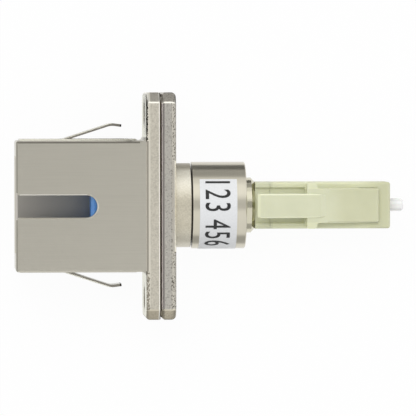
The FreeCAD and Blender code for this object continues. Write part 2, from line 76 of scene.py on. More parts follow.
# Most of a noise lies within noise_span, and blots are where the grain rises through blot_span.
noise_span = {"From Min": 0.3, "From Max": 0.7}
blot_span = {"From Min": 0.50, "From Max": 0.60}
shoulder_gloss = 0.22
rim_gloss = 0.50
joint_edge_gloss = 0.30
as_cast_shades = ("#99948a", "#d4cfc4")
# The near facet is darker and browner than the far one.
darker_browner_shades = ("#8b8474", "#c8c0ac")
# Painted highlights on the facet edges: white on the far side, duller on the near side.
facet_edge_highlight = "#f6f3e8"
near_facet_edge_highlight = "#c9c2b0"

# Where its finish changes and where light and shade are painted on it: boxes between two corners
# in millimetres. For what is alike on both sides, Y is the distance from the long middle plane.
plate_zone = ((0.0, 0.0, -5.0), (2.0, 12.0, 5.0))
facet_zone = ((-0.1, 10.06, -5.0), (2.895, 12.0, 5.0))
near_facet_zone = ((-0.1, -12.0, -5.0), (2.895, -10.06, 5.0))
facet_round_highlight_zone = ((-0.02, 10.06, -5.0), (0.33, 12.0, 5.0))
facet_edge_highlight_zone = ((0.0, 9.94, 4.4), (3.0, 10.09, 5.0))
near_facet_edge_highlight_zone = ((0.0, -10.09, 4.4), (3.0, -9.94, 5.0))
shoulder_reflection_zone = ((-0.01, 0.0, -5.0), (0.012, 12.0, 4.45))
plate_round_highlight_zone = ((0.10, 0.0, 0.0), (0.40, 12.0, 5.0))
root_zone = ((0.05, 0.0, 4.42), (0.235, 6.3, 5.0))
free_root_zone = ((-0.02, 6.3, 4.42), (0.14, 12.0, 5.0))
near_root_zone = ((-0.02, -10.0, 4.42), (0.28, -6.3, 5.0))
joint_edge_highlight_zone = ((1.215, 0.0, -5.0), (1.30, 12.0, 5.0))
joint_shade_zone = ((1.288, 0.0, -5.0), (2.0, 12.0, 5.0))
far_edge_shade_zone = ((-12.4, 6.085, 4.44), (-0.6, 6.24, 5.0))
mouth_edge_shade_zone = ((-12.555, 1.30, 4.45), (-12.39, 6.24, 5.0))
keyway_side_highlight_zone = ((-12.2, 1.00, 4.46), (-5.7, 1.26, 4.597))
keyway_end_highlight_zone = ((-5.8, -1.3, 4.46), (-4.4, 1.3, 4.597))
cavity_shade_zone = ((-13.0, 0.0, -3.95), (1.3, 4.54, 3.74))


def linear(hex_colour):
    """sRGB hex colour as linear red, green, blue and alpha."""
    values = [int(hex_colour[i:i + 2], 16) / 255 for i in (1, 3, 5)]
    return [v / 12.92 if v <= 0.04045 else ((v + 0.055) / 1.055) ** 2.4 for v in values] + [1.0]


def add_node(tree, kind, outlet, sockets, **settings):
    """Adds a node with its settings, links or sets its sockets, and gives one output or all."""
    made = tree.nodes.new("ShaderNode" + kind)
    for name, value in settings.items():
        setattr(made, name, value)
    for name, value in sockets.items():
        if isinstance(value, bpy.types.NodeSocket):
            tree.links.new(value, made.inputs[name])
        else:
            made.inputs[name].default_value = value
    return made.outputs if outlet is None else made.outputs[outlet]


def new_material(name):
    """Empty material, its node tree, and the place on the object that patterns are drawn by."""
    material = bpy.data.materials.new(name)
    material.use_nodes = True
    tree = material.node_tree
    tree.nodes.clear()
    return material, tree, add_node(tree, "TexCoord", "Object", {})


def per_metre(*sizes):
    """Scale of a pattern along each axis, from the size of its features in millimetres."""
    return [1 / (size * MM) for size in sizes]


def folded(tree, place):
    """Place with both sides of the long middle plane laid on one another."""
    where = add_node(tree, "SeparateXYZ", None, {"Vector": place})
    aside = add_node(tree, "Math", 0, {0: where["Y"]}, operation="ABSOLUTE")
    return add_node(tree, "CombineXYZ", 0, {"X": where["X"], "Y": aside, "Z": where["Z"]})


def inside(tree, place, zone):
    """One within the box between two corners in millimetres, none outside it."""
    low, high = zone
    middle = [(a + b) / 2 * MM for a, b in zip(low, high)]
    reach = per_metre(*[(b - a) / 2 for a, b in zip(low, high)])
    offset = add_node(tree, "VectorMath", 0, {0: place, 1: middle}, operation="SUBTRACT")
    offset = add_node(tree, "VectorMath", 0, {0: offset, 1: reach}, operation="MULTIPLY")
    offset = add_node(tree, "VectorMath", 0, {0: offset}, operation="ABSOLUTE")
    sides = add_node(tree, "SeparateXYZ", None, {"Vector": offset})
    widest = add_node(tree, "Math", 0, {0: sides["X"], 1: sides["Y"]}, operation="MAXIMUM")
    widest = add_node(tree, "Math", 0, {0: widest, 1: sides["Z"]}, operation="MAXIMUM")
    return add_node(tree, "Math", 0, {0: widest, 1: 1.0}, operation="LESS_THAN")


def dress(material, *names):
    """Gives CAD nodes their finish."""
    for name in names:
        nodes[name].data.materials.clear()
        nodes[name].data.materials.append(material)


# Soft grey with a warm cast: fine lines along the port and a sandy grain on the plate, both drawn
# coarser than real. Painted highlights lie on edges that catch the light, painted shade and painted
# dark reflections lie along other edges, in the corners and in the joint, and the cavity is painted
# darker towards its back.
satin_nickel, tree, place = new_material("satin_nickel_plate_on_ground_casting")
stretch = per_metre(ground_length, ground_line, ground_line)
stretched = add_node(tree, "Mapping", "Vector", {"Vector": place, "Scale": stretch})
lines = add_node(tree, "TexNoise", "Fac", {"Vector": stretched, "Scale": 1.0, "Detail": 3.0})
grain = {"Vector": place, "Scale": 1 / (cast_grain * MM), "Detail": 2.0}
grain, speckle = add_node(tree, "TexNoise", None, grain)
wave = add_node(tree, "TexNoise", "Fac", {"Vector": place, "Scale": 1 / (cast_wave * MM)})
both_sides = folded(tree, place)
wander = add_node(tree, "VectorMath", 0, {0: speckle, 1: (0.5, 0.5, 0.5)}, operation="SUBTRACT")
wander = add_node(tree, "VectorMath", 0, {0: wander, 1: (line_wander * MM, 0, 0)}, operation="MULTIPLY")
wander = add_node(tree, "VectorMath", 0, {0: place, 1: wander}, operation="ADD")
on_plate = inside(tree, both_sides, plate_zone)
on_shoulder_reflection = inside(tree, both_sides, shoulder_reflection_zone)
on_joint_edge_highlight = inside(tree, both_sides, joint_edge_highlight_zone)
on_keyway_side_highlight = inside(tree, place, keyway_side_highlight_zone)
on_keyway_end_highlight = inside(tree, place, keyway_end_highlight_zone)
on_rim = add_node(tree, "Math", 0, {0: on_keyway_side_highlight, 1: on_keyway_end_highlight}, operation="MAXIMUM")
# Painted shade: the cavity is darker and cooler towards its back.
depth = add_node(tree, "SeparateXYZ", "X", {"Vector": place})
depth = {"Value": depth, "From Min": mouth_x * MM, "From Max": cavity_back_x * MM}
depth = add_node(tree, "MapRange", 0, depth)
blots = add_node(tree, "MapRange", 0, {"Value": grain, **blot_span})
finishes = {}
for name, pattern, (dark, light) in (
    ("ground", lines, ("#c9c5b8", "#d2cec1")),
    ("sandy", grain, ("#b4afa0", "#e8e2d4")),
    ("as_cast", grain, as_cast_shades),
    ("darker_browner", grain, darker_browner_shades),
    ("dark_reflection", blots, ("#2f2b26", "#b9b4a8")),
    ("mottled_reflection", blots, ("#8f897b", "#d8d3c6")),
    ("cavity_shade", depth, ("#c4c0b8", "#a5a7a8")),
):
    shades = {0: pattern, 6: linear(dark), 7: linear(light)}
    finishes[name] = add_node(tree, "Mix", 2, shades, data_type="RGBA")
colour = finishes["ground"]
for zone, finish in (
    (on_plate, finishes["sandy"]),
    (inside(tree, place, facet_zone), finishes["as_cast"]),
    # Painted highlight on the plate's rounded edge.
    (inside(tree, both_sides, plate_round_highlight_zone), linear("#e0dbcd")),
    # Painted highlights on the far facet's round and edge, duller on the near facet's edge.
    (inside(tree, place, facet_round_highlight_zone), linear(facet_edge_highlight)),
    (inside(tree, place, facet_edge_highlight_zone), linear(facet_edge_highlight)),
    (inside(tree, place, near_facet_zone), finishes["darker_browner"]),
    (inside(tree, place, near_facet_edge_highlight_zone), linear(near_facet_edge_highlight)),
    # Painted reflection: the plate's front face is pale as if mirroring the white floor.
    (on_shoulder_reflection, linear("#d8d7bd")),
    # Painted highlight along the keyway's far side and round its end.
    (on_keyway_end_highlight, linear("#d6d3c8")),
    (on_keyway_side_highlight, linear("#f4f2ea")),
    # Painted highlight on the front plate's edge at the joint.
    (on_joint_edge_highlight, linear("#fffdf4")),
    # Painted shade: a dark line along the port's far edge.
    (inside(tree, place, far_edge_shade_zone), linear("#8f8b81")),
    # Painted shade: a dark line at the mouth's chamfer.
    (inside(tree, both_sides, mouth_edge_shade_zone), linear("#9d9a8f")),
    # Painted shade in the corner where the port meets the plate.
    (inside(tree, both_sides, root_zone), linear("#a39e93")),
    # Painted dark reflections along the plate's edge beyond the port: jagged on the far side, mottled
    # on the near side.
    (inside(tree, wander, free_root_zone), finishes["dark_reflection"]),
    (inside(tree, wander, near_root_zone), finishes["mottled_reflection"]),
    (inside(tree, both_sides, cavity_shade_zone), finishes["cavity_shade"]),
    # Painted shade in the groove at the joint.
    (inside(tree, both_sides, joint_shade_zone), linear("#544b3f")),
):
    colour = add_node(tree, "Mix", 2, {0: zone, 6: colour, 7: finish}, data_type="RGBA")
ground_gloss = {"Value": grain, **noise_span, "To Min": 0.30, "To Max": 0.36}
ground_gloss = add_node(tree, "MapRange", 0, ground_gloss)
sandy_gloss = {"Value": grain, **noise_span, "To Min": 0.36, "To Max": 0.48}
sandy_gloss = add_node(tree, "MapRange", 0, sandy_gloss)
gloss = add_node(tree, "Mix", 0, {0: on_plate, 2: ground_gloss, 3: sandy_gloss})
gloss = add_node(tree, "Mix", 0, {0: on_shoulder_reflection, 2: gloss, 3: shoulder_gloss})
gloss = add_node(tree, "Mix", 0, {0: on_rim, 2: gloss, 3: rim_gloss})
gloss = add_node(tree, "Mix", 0, {0: on_joint_edge_highlight, 2: gloss, 3: joint_edge_gloss})
texture = add_node(tree, "Mix", 0, {0: on_plate, 2: lines, 3: grain})
texture = add_node(tree, "Math", 0, {0: wave, 1: wave_share, 2: texture}, operation="MULTIPLY_ADD")
relief = {"Height": texture, "Strength": 1.0, "Distance": ground_relief * MM}
relief = add_node(tree, "Bump", 0, relief)
metal = {"Base Color": colour, "Metallic": 1.0, "Roughness": gloss, "Normal": relief}
metal = add_node(tree, "BsdfPrincipled", 0, metal)
add_node(tree, "OutputMaterial", None, {"Surface": metal})
dress(satin_nickel, "sc_housing")

# Rear flange plate with the round boss and spigot: the same casting and plate, bead blasted.
# Its land sits on the shell and leaves a narrow gap all round the joint.
blast_grain = 0.15
blast_relief = 0.008
round_relief_share = 4.0
pit_span = {"From Min": 0.38, "From Max": 0.48}
rear_edge_gloss = 0.75
boss_shine = 0.50
rear_edge_highlight_zone = ((1.49, 0.0, -5.0), (1.59, 12.0, 5.0))
rear_bevel_shade_zone = ((1.59, 0.0, -5.0), (1.77, 12.0, 5.0))
rear_plate_zone = ((1.77, 0.0, -5.0), (2.915, 12.0, 5.0))
rear_round_zone = ((2.42, 0.0, -5.0), (2.895, 12.0, 5.0))
boss_shade_zone = ((2.50, 0.0, 4.0), (2.74, 4.4, 5.0))
boss_root_highlight_zone = ((2.74, 0.0, 4.0), (2.905, 4.4, 5.0))
boss_zone = ((2.915, 0.0, -5.0), (6.0, 12.0, 5.0))
nut_gap_shade_zone = ((4.39, 0.0, -5.0), (4.62, 12.0, 5.0))

# Grey on the plate, coarse and sparkling where the edge is rounded, with a grain drawn coarser
# than real. The boss is blasted so fine that it is pale and scatters light, with bands of painted
# highlight and painted shade across it. Painted shade darkens the grooves at the joint and at the
# nut and lies beside the boss's foot, and painted highlights lie on edges and on the foot itself.
blasted_nickel, tree, place = new_material("bead_blasted_nickel_plate_on_casting")
grain = {"Vector": place, "Scale": 1 / (blast_grain * MM), "Detail": 3.0}
grain = add_node(tree, "TexNoise", "Fac", grain)
both_sides = folded(tree, place)
on_round = inside(tree, both_sides, rear_round_zone)
on_boss = inside(tree, both_sides, boss_zone)
on_rear_edge_highlight = inside(tree, both_sides, rear_edge_highlight_zone)
pits = add_node(tree, "MapRange", 0, {"Value": grain, **pit_span})
finishes = {}
for name, pattern, (dark, light) in (
    ("blasted", grain, ("#b7b3aa", "#e4e0d6")),
    ("pitted", pits, ("#5a564f", "#b0aca2")),
    ("as_cast", grain, as_cast_shades),
    ("darker_browner", grain, darker_browner_shades),
    ("fine", grain, ("#aaa38f", "#dfd9c7")),
    # The pale finish is a painted highlight on the boss.
    ("pale", grain, ("#dcd6c2", "#fffcf0")),
):
    shades = {0: pattern, 6: linear(dark), 7: linear(light)}
    finishes[name] = add_node(tree, "Mix", 2, shades, data_type="RGBA")
boss = finishes["fine"]
across = add_node(tree, "SeparateXYZ", "Y", {"Vector": place})
# Across the boss, bands of painted highlight and one band of painted shade: where each starts
# and ends, its share, and the finish.
for start, end, share, finish in (
    (0.6, 2.6, 1.0, finishes["pale"]),
    (-1.8, -3.6, 0.57, finishes["pale"]),
    (3.3, 3.9, 1.0, linear("#a8a190")),
):
    blend = {"Value": across, "From Min": start * MM, "From Max": end * MM, "To Max": share}
    blend = add_node(tree, "MapRange", 0, blend, interpolation_type="SMOOTHSTEP")
    boss = add_node(tree, "Mix", 2, {0: blend, 6: boss, 7: finish}, data_type="RGBA")
# Painted shade: the base colour is the dark of the groove at the joint.
colour = linear("#544b40")
for zone, finish in (
    # Painted highlight on the rear plate's edge at the joint.
    (on_rear_edge_highlight, linear("#fdf6f0")),
    # Painted shade on the rear plate's bevel at the joint.
    (inside(tree, both_sides, rear_bevel_shade_zone), linear("#938e8a")),
    (inside(tree, both_sides, rear_plate_zone), finishes["blasted"]),
    (on_round, finishes["pitted"]),
    (inside(tree, place, facet_zone), finishes["as_cast"]),
    # Painted highlights on the facet edges, duller on the near side.
    (inside(tree, place, facet_edge_highlight_zone), linear(facet_edge_highlight)),
    (inside(tree, place, near_facet_zone), finishes["darker_browner"]),
    (inside(tree, place, near_facet_edge_highlight_zone), linear(near_facet_edge_highlight)),
    (inside(tree, both_sides, boss_shade_zone), linear("#a19d94")),
    (on_boss, boss),
    # Painted highlight at the boss's foot.
    (inside(tree, both_sides, boss_root_highlight_zone), linear("#f0ebdc")),
    # Painted shade in the gap at the nut.
    (inside(tree, both_sides, nut_gap_shade_zone), linear("#3a352e")),
):
    colour = add_node(tree, "Mix", 2, {0: zone, 6: colour, 7: finish}, data_type="RGBA")
plate_gloss = {"Value": grain, **noise_span, "To Min": 0.26, "To Max": 0.34}
plate_gloss = add_node(tree, "MapRange", 0, plate_gloss)
boss_gloss = {"Value": grain, **noise_span, "To Min": 0.32, "To Max": 0.40}
boss_gloss = add_node(tree, "MapRange", 0, boss_gloss)
gloss = add_node(tree, "Mix", 0, {0: on_boss, 2: plate_gloss, 3: boss_gloss})
gloss = add_node(tree, "Mix", 0, {0: on_rear_edge_highlight, 2: gloss, 3: rear_edge_gloss})
shine = add_node(tree, "Mix", 0, {0: on_boss, 2: 1.0, 3: boss_shine})
coarse = {0: on_round, 1: round_relief_share, 2: 1.0}
coarse = add_node(tree, "Math", 0, coarse, operation="MULTIPLY_ADD")
texture = add_node(tree, "Math", 0, {0: grain, 1: coarse}, operation="MULTIPLY")
relief = {"Height": texture, "Strength": 1.0, "Distance": blast_relief * MM}
relief = add_node(tree, "Bump", 0, relief)
metal = {"Base Color": colour, "Metallic": shine, "Roughness": gloss, "Normal": relief}
metal = add_node(tree, "BsdfPrincipled", 0, metal)
add_node(tree, "OutputMaterial", None, {"Surface": metal})
dress(blasted_nickel, "rear_flange")

# Retaining clip and its two wings: spring steel sheet, stamped, with a wing lanced out of each
# arm. It is bent round the back of the shell and snaps into a shallow seat there.
roll_line = 0.10
roll_length = 8.0
roll_relief = 0.002
arm_edge_gloss = 0.50
highlight_gloss = 0.85
lance_zone = ((-13.0, 0.0, -0.012), (2.0, 12.0, 0.012))
arm_edge_zone = ((-13.0, 0.0, 1.588), (2.0, 12.0, 1.612))
far_arm_highlight_zone = ((-13.0, 6.27, 1.588), (2.0, 12.0, 1.612))
wing_root = (-7.99, 6.355)
highlight_from = 0.04
wing_lean = math.radians(18)
wing_tip_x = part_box("clip_wing_upper")[1].x / MM
wing_tip_zone = ((wing_tip_x - 0.16, 7.0, -5.0), (wing_tip_x + 0.1, 12.0, 1.0))

# Brighter and cooler than the casting, with rolling lines along the sheet, drawn coarser than
# real. A sheared edge of a wing is broken and darker, a painted highlight runs along its outer side
# and the far arm's edge, and its tip is dark.
spring_steel, tree, place = new_material("bright_rolled_spring_steel")
stretch = per_metre(roll_length, roll_line, roll_line)
stretched = add_node(tree, "Mapping", "Vector", {"Vector": place, "Scale": stretch})
lines = add_node(tree, "TexNoise", "Fac", {"Vector": stretched, "Scale": 1.0, "Detail": 2.0})
both_sides = folded(tree, place)
sheared = inside(tree, both_sides, lance_zone)
on_arm_edge = inside(tree, both_sides, arm_edge_zone)
rolled = {0: lines, 6: linear("#bebcb1"), 7: linear("#e4e2d9")}
rolled = add_node(tree, "Mix", 2, rolled, data_type="RGBA")
# Painted highlight along the outer side of each sheared edge and along the far arm's edge.
outward = (-math.sin(wing_lean), math.cos(wing_lean), 0)
highlight_line = (wing_root[0] * outward[0] + wing_root[1] * outward[1] + highlight_from) * MM
outer = add_node(tree, "VectorMath", 1, {0: both_sides, 1: outward}, operation="DOT_PRODUCT")
outer = add_node(tree, "Math", 0, {0: outer, 1: highlight_line}, operation="GREATER_THAN")
sheared_highlight = add_node(tree, "Math", 0, {0: sheared, 1: outer}, operation="MULTIPLY")
on_far_arm_highlight = inside(tree, place, far_arm_highlight_zone)
wing_and_arm_highlight = add_node(tree, "Math", 0, {0: sheared_highlight, 1: on_far_arm_highlight}, operation="MAXIMUM")
colour = add_node(tree, "Mix", 2, {0: sheared, 6: rolled, 7: linear("#aaa59b")}, data_type="RGBA")
colour = add_node(tree, "Mix", 2, {0: wing_and_arm_highlight, 6: colour, 7: linear("#fbfaf2")}, data_type="RGBA")
tip = inside(tree, both_sides, wing_tip_zone)
colour = add_node(tree, "Mix", 2, {0: tip, 6: colour, 7: linear("#3d3833")}, data_type="RGBA")
gloss = {"Value": lines, **noise_span, "To Min": 0.22, "To Max": 0.30}
gloss = add_node(tree, "MapRange", 0, gloss)
gloss = add_node(tree, "Mix", 0, {0: on_arm_edge, 2: gloss, 3: arm_edge_gloss})
gloss = add_node(tree, "Mix", 0, {0: wing_and_arm_highlight, 2: gloss, 3: highlight_gloss})
relief = add_node(tree, "Bump", 0, {"Height": lines, "Strength": 1.0, "Distance": roll_relief * MM})
metal = {"Base Color": colour, "Metallic": 1.0, "Roughness": gloss, "Normal": relief}
metal = add_node(tree, "BsdfPrincipled", 0, metal)
add_node(tree, "OutputMaterial", None, {"Surface": metal})
dress(spring_steel, "retaining_clip", "clip_wing_upper", "clip_wing_lower", "ferrule_spring")

# Sleeve holder and its two hook arms: one blue polyester moulding, trapped between the plates.
# The hooks spring open for the square plug; the tube holds the alignment sleeve.
mould_grain = 0.12
mould_relief = 0.003
flow_size = 1.6

# Clear mid blue, slightly translucent. The satin of the moulded skin is drawn coarser than real.
blue_moulding, tree, place = new_material("blue_moulded_polyester")
grain = add_node(tree, "TexNoise", "Fac", {"Vector": place, "Scale": 1 / (mould_grain * MM)})
flow = add_node(tree, "TexNoise", "Fac", {"Vector": place, "Scale": 1 / (flow_size * MM)})
colour = {0: flow, 6: linear("#5596e6"), 7: linear("#7db8fa")}
colour = add_node(tree, "Mix", 2, colour, data_type="RGBA")
gloss = {"Value": grain, **noise_span, "To Min": 0.30, "To Max": 0.40}
gloss = add_node(tree, "MapRange", 0, gloss)
relief = {"Height": grain, "Strength": 1.0, "Distance": mould_relief * MM}
relief = add_node(tree, "Bump", 0, relief)
plastic = {"Base Color": colour, "Roughness": gloss, "Normal": relief}
plastic.update({"Subsurface Weight": 0.2, "Subsurface Scale": 0.3 * MM})
plastic = add_node(tree, "BsdfPrincipled", 0, plastic)
add_node(tree, "OutputMaterial", None, {"Surface": plastic})
dress(blue_moulding, "sleeve_holder", "plug_hook_upper", "plug_hook_lower")

# Alignment sleeve, stub ferrule and small ferrule: ground and polished zirconia ceramic.
# The sleeve floats in the blue tube, the stub is bonded in its ring.
fired_grain = 0.4

# Dense white with a wet gloss and a little depth. The fired grain is drawn far coarser than real.
zirconia, tree, place = new_material("polished_zirconia")
grain = add_node(tree, "TexNoise", "Fac", {"Vector": place, "Scale": 1 / (fired_grain * MM)})
colour = {0: grain, 6: linear("#f6f7f6"), 7: linear("#ffffff")}
colour = add_node(tree, "Mix", 2, colour, data_type="RGBA")
gloss = {"Value": grain, **noise_span, "To Min": 0.12, "To Max": 0.20}
gloss = add_node(tree, "MapRange", 0, gloss)
ceramic = {"Base Color": colour, "Roughness": gloss, "IOR": 2.1}
ceramic.update({"Subsurface Weight": 0.05, "Subsurface Scale": 0.2 * MM})
ceramic = add_node(tree, "BsdfPrincipled", 0, ceramic)
add_node(tree, "OutputMaterial", None, {"Surface": ceramic})
dress(zirconia, "split_sleeve", "stub_ferrule", "lc_ferrule")

# Clamp nut, plug stem and the small turned pieces: nickel-plated brass off the lathe.
# The nut screws on the spigot and traps the stem, whose neck carries the small plug.
turning_mark = 0.09
turning_relief = 0.00005


def turned_nickel(name, dark, light, low, high, smear):
    """Nickel with faint turning marks round the axis, which smear what it mirrors across them."""
    material, tree, place = new_material(name)
    along = add_node(tree, "SeparateXYZ", "X", {"Vector": place})
    radius = add_node(tree, "VectorMath", 0, {0: place, 1: (0, 1, 1)}, operation="MULTIPLY")
    radius = add_node(tree, "VectorMath", 1, {0: radius}, operation="LENGTH")
    along = add_node(tree, "Math", 0, {0: along, 1: radius}, operation="ADD")
    rings = {"W": along, "Scale": 1 / (turning_mark * MM), "Detail": 2.0}
    rings = add_node(tree, "TexNoise", "Fac", rings, noise_dimensions="1D")
    colour = {0: rings, 6: linear(dark), 7: linear(light)}
    colour = add_node(tree, "Mix", 2, colour, data_type="RGBA")
    gloss = {"Value": rings, **noise_span, "To Min": low, "To Max": high}
    gloss = add_node(tree, "MapRange", 0, gloss)
    relief = {"Height": rings, "Strength": 1.0, "Distance": turning_relief * MM}
    relief = add_node(tree, "Bump", 0, relief)
    facing = add_node(tree, "NewGeometry", "Normal", {})
    mark = add_node(tree, "VectorMath", 0, {0: place, 1: (1, 0, 0)}, operation="CROSS_PRODUCT")
    profile = add_node(tree, "VectorMath", 0, {0: facing, 1: mark}, operation="CROSS_PRODUCT")
    metal = {"Base Color": colour, "Metallic": 1.0, "Roughness": gloss, "Normal": relief}
    metal.update({"Anisotropic": smear, "Tangent": profile})
    metal = add_node(tree, "BsdfPrincipled", 0, metal)
    add_node(tree, "OutputMaterial", None, {"Surface": metal})
    return material


# Bright, with marks drawn coarser than real: the nut fine-turned, the stem polished after turning,
# the rivets headed cold and satin.
fine_turned = turned_nickel("turned_nickel_plate_on_brass", "#c8c3b2", "#d4cfbf", 0.29, 0.31, 0.75)
dress(fine_turned, "clamp_nut")
polished = turned_nickel("polished_nickel_plate_on_brass", "#c8c4ae", "#dcd8c4", 0.15, 0.20, 0.5)
dress(polished, "plug_stem", "stub_holder", "ferrule_barrel")
headed = turned_nickel("headed_nickel_plate_on_brass", "#c0bbac", "#d2cdbe", 0.30, 0.36, 0.0)
dress(headed, "flange_rivets")

# Label: matt white film, stuck part way round the nut.
# It carries plain numerals, printed in black across the film and read downwards.
film_fibre = 0.10
film_relief = 0.002
print_text = "123 456"
print_height = 2.45
print_run = 7.40
print_start = 34.0
print_middle_x = 6.96
print_thickness = 0.02
print_radius = 4.27

# Cool white, faintly mottled by fibres that are drawn coarser than real.
label_film, tree, place = new_material("matt_white_label_film")
fibres = add_node(tree, "TexNoise", "Fac", {"Vector": place, "Scale": 1 / (film_fibre * MM)})
colour = {0: fibres, 6: linear("#d9dbdd"), 7: linear("#f1f2f3")}
colour = add_node(tree, "Mix", 2, colour, data_type="RGBA")
gloss = {"Value": fibres, **noise_span, "To Min": 0.45, "To Max": 0.60}
gloss = add_node(tree, "MapRange", 0, gloss)
relief = {"Height": fibres, "Strength": 1.0, "Distance": film_relief * MM}
relief = add_node(tree, "Bump", 0, relief)
film = {"Base Color": colour, "Roughness": gloss, "Normal": relief}
film = add_node(tree, "BsdfPrincipled", 0, film)
add_node(tree, "OutputMaterial", None, {"Surface": film})
dress(label_film, "fibre_label")

# Dense black, thinning slightly over the same fibres.
printed_black, tree, place = new_material("printed_black_ink")
density = add_node(tree, "TexNoise", "Fac", {"Vector": place, "Scale": 1 / (film_fibre * MM)})
colour = {0: density, 6: linear("#050505"), 7: linear("#252525")}
colour = add_node(tree, "Mix", 2, colour, data_type="RGBA")
gloss = {"Value": density, **noise_span, "To Min": 0.40, "To Max": 0.55}
gloss = add_node(tree, "MapRange", 0, gloss)
ink = add_node(tree, "BsdfPrincipled", 0, {"Base Color": colour, "Roughness": gloss})
add_node(tree, "OutputMaterial", None, {"Surface": ink})

bpy.ops.object.select_all(action="DESELECT")
bpy.ops.object.text_add()
numerals = bpy.context.object
numerals.name = "label_numerals"
numerals.data.body = print_text
numerals.data.space_character = 1.12
numerals.data.space_word = 0.6
numerals.data.resolution_u = 4
numerals.data.extrude = 0.1
bpy.ops.object.convert(target="MESH")
bpy.ops.object.mode_set(mode="EDIT")
bpy.ops.mesh.select_all(action="SELECT")
bpy.ops.mesh.subdivide(number_cuts=3)
bpy.ops.object.mode_set(mode="OBJECT")
numerals.dimensions = (print_run * MM, print_height * MM, print_thickness * MM)
bpy.ops.object.transform_apply(location=True, rotation=True, scale=True)
bpy.ops.object.origin_set(type="ORIGIN_GEOMETRY", center="BOUNDS")
numerals.location = (0, 0, 0)
numerals.rotation_euler = (math.radians(90), math.radians(90), 0)
bpy.ops.object.transform_apply(location=True, rotation=True, scale=True)
print_wrap = print_run / print_radius
bpy.ops.object.modifier_add(type="SIMPLE_DEFORM")
numerals.modifiers[-1].deform_method = "BEND"
numerals.modifiers[-1].deform_axis = "X"
numerals.modifiers[-1].angle = print_wrap
bpy.ops.object.modifier_apply(modifier=numerals.modifiers[-1].name)
numerals.location = (print_middle_x * MM, -print_radius * MM, 0)
bpy.ops.object.transform_apply(location=True, rotation=True, scale=True)
numerals.rotation_euler = (print_wrap / 2 - math.radians(90 + print_start), 0, 0)
bpy.ops.object.transform_apply(location=True, rotation=True, scale=True)
numerals.data.materials.append(printed_black)
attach(numerals, "adapter")

# Small plug: a rear piece on the stem, a front piece over its tongue, and the press-down latch.
# All are beige polyester mouldings, and the latch swings at the nose.
skin_grain = 0.10
skin_relief = 0.003
skin_flow = 2.2
nose_from_x = 17.0
nose_to_x = 19.5
rail_fade_x = 20.5
rail_end_x = 23.2
tab_back_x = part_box("lc_latch")[0].x / MM
rail_highlight_zone = ((12.4, 1.62, -5.0), (24.0, 3.0, 6.0))
tab_edge_highlight_zone = ((tab_back_x, 1.05, 4.0), (tab_back_x + 6.7, 1.3, 6.0))
tab_back_highlight_zone = ((tab_back_x - 0.1, -1.3, 4.0), (tab_back_x + 0.28, 1.3, 6.0))

# Warm cream with a green cast, satin from a moulded skin that is drawn coarser than real. Light
# passes a little into the plastic. The rails, the tab's edges and the tab's back carry painted
# highlights, and the nose is painted a little deeper as painted shade.
beige_moulding, tree, place = new_material("beige_moulded_polyester")
grain = add_node(tree, "TexNoise", "Fac", {"Vector": place, "Scale": 1 / (skin_grain * MM)})
flow = add_node(tree, "TexNoise", "Fac", {"Vector": place, "Scale": 1 / (skin_flow * MM)})
finishes = {}
for name, dark, light in (
    ("plain", "#d0d2b1", "#dfe1c4"),
    ("highlight_tone", "#d9dbb8", "#e7e9c9"),
    ("nose_shade", "#c7c8a4", "#d6d7b6"),
):
    shades = {0: flow, 6: linear(dark), 7: linear(light)}
    finishes[name] = add_node(tree, "Mix", 2, shades, data_type="RGBA")
along = add_node(tree, "SeparateXYZ", "X", {"Vector": place})
# Painted shade: darker towards the nose.
nose = {"Value": along, "From Min": nose_from_x * MM, "From Max": nose_to_x * MM}
nose = add_node(tree, "MapRange", 0, nose, interpolation_type="SMOOTHSTEP")
colour = {0: nose, 6: finishes["plain"], 7: finishes["nose_shade"]}
colour = add_node(tree, "Mix", 2, colour, data_type="RGBA")
both_sides = folded(tree, place)
fade = {"Value": along, "From Min": rail_fade_x * MM, "From Max": rail_end_x * MM}
fade.update({"To Min": 1.0, "To Max": 0.0})
fade = add_node(tree, "MapRange", 0, fade, interpolation_type="SMOOTHSTEP")
on_rail_highlight = {0: inside(tree, both_sides, rail_highlight_zone), 1: fade}
on_rail_highlight = add_node(tree, "Math", 0, on_rail_highlight, operation="MULTIPLY")
# Painted highlights on the rails, the tab's edges and the tab's back.
for zone, finish in (
    (on_rail_highlight, finishes["highlight_tone"]),
    (inside(tree, both_sides, tab_edge_highlight_zone), linear("#f2f4d6")),
    (inside(tree, place, tab_back_highlight_zone), finishes["highlight_tone"]),
):
    colour = add_node(tree, "Mix", 2, {0: zone, 6: colour, 7: finish}, data_type="RGBA")
gloss = {"Value": grain, **noise_span, "To Min": 0.34, "To Max": 0.46}
gloss = add_node(tree, "MapRange", 0, gloss)
relief = add_node(tree, "Bump", 0, {"Height": grain, "Strength": 1.0, "Distance": skin_relief * MM})
plastic = {"Base Color": colour, "Roughness": gloss, "Normal": relief}
plastic.update({"Subsurface Weight": 0.15, "Subsurface Scale": 0.3 * MM})
plastic.update({"Subsurface Radius": (1.0, 0.9, 0.5)})
plastic = add_node(tree, "BsdfPrincipled", 0, plastic)
add_node(tree, "OutputMaterial", None, {"Surface": plastic})
dress(beige_moulding, "lc_rear_body", "lc_front_housing", "lc_latch")

# Glass fibre: drawn silica along the axis, bonded in both ferrules.
# It is hidden but for its polished end in the tip.
draw_length = 3.0

